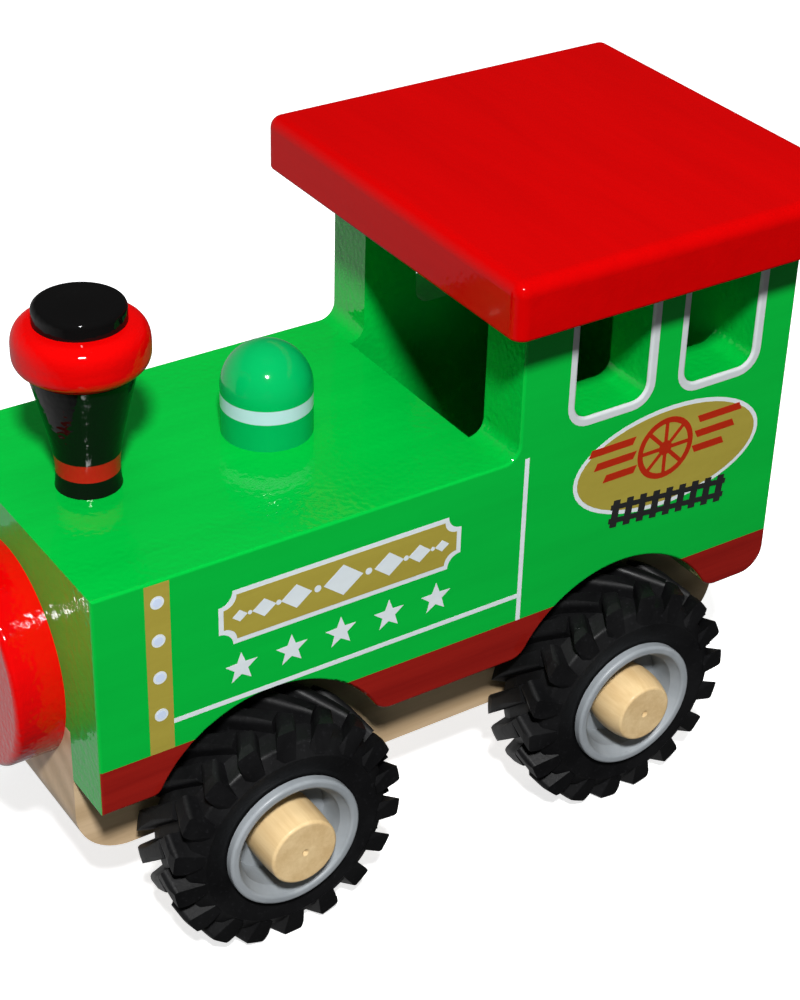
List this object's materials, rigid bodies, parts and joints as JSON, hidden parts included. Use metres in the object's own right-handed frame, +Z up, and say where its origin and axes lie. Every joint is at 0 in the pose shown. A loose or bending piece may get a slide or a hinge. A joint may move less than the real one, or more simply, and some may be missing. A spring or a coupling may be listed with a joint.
{
  "type": "wooden toy steam locomotive",
  "caption": "Painted wooden toy steam engine with open cab, board roof, chimney, dome and rolling rubber-tyred wheels on two turning axles.",
  "frame": {"origin": "on the floor plane under the tyres, at the middle of the whole toy's length and width", "axes": "+X forward, towards the chimney and smokebox; +Y the locomotive's left side; +Z up"},
  "size_m": [0.155, 0.0812, 0.1182],
  "materials": {
    "green_lacquer_side": "gloss lacquer, dark red lower strip",
    "green_lacquer_top": "gloss lacquer",
    "green_lacquer_dome": "gloss lacquer with a white band",
    "red_lacquer": "gloss lacquer",
    "red_lacquer_disc": "gloss lacquer",
    "black_lacquer": "gloss lacquer with red ring and band",
    "natural_wood": "satin clear lacquer",
    "dowel_wood": "plain",
    "turned_cap_wood": "satin clear lacquer",
    "black_rubber": "matte",
    "grey_plastic": "satin",
    "steel_rod": "plain"
  },
  "bodies": {
    "frame": {"left_side_panel": "green_lacquer_side", "right_side_panel": "green_lacquer_side", "boiler_block": "green_lacquer_top", "chassis_block": "natural_wood", "cab_back_board": "green_lacquer_top", "roof": "red_lacquer", "roof_dowels": "dowel_wood", "boiler_cross_dowels": "dowel_wood", "chassis_cross_dowels": "dowel_wood", "cab_back_dowels": "dowel_wood", "smokebox_disc": "red_lacquer_disc", "smokebox_dowel": "dowel_wood", "chimney": "black_lacquer", "chimney_dowel": "dowel_wood", "steam_dome": "green_lacquer_dome", "dome_dowel": "dowel_wood"},
    "front_wheelset": {"front_axle_rod": "steel_rod", "front_left_tyre": "black_rubber", "front_left_wheel_hub": "grey_plastic", "front_left_axle_cap": "turned_cap_wood", "front_right_tyre": "black_rubber", "front_right_wheel_hub": "grey_plastic", "front_right_axle_cap": "turned_cap_wood"},
    "rear_wheelset": {"rear_axle_rod": "steel_rod", "rear_left_tyre": "black_rubber", "rear_left_wheel_hub": "grey_plastic", "rear_left_axle_cap": "turned_cap_wood", "rear_right_tyre": "black_rubber", "rear_right_wheel_hub": "grey_plastic", "rear_right_axle_cap": "turned_cap_wood"}
  },
  "joints": [
    {"name": "front_axle_spin", "type": "hinge", "parent": "frame", "child": "front_wheelset", "pos_m": [0.0373, 0, 0.0226], "axis": [0, 1, 0], "continuous": true},
    {"name": "rear_axle_spin", "type": "hinge", "parent": "frame", "child": "rear_wheelset", "pos_m": [-0.035, 0, 0.0226], "axis": [0, 1, 0], "continuous": true}
  ]
}
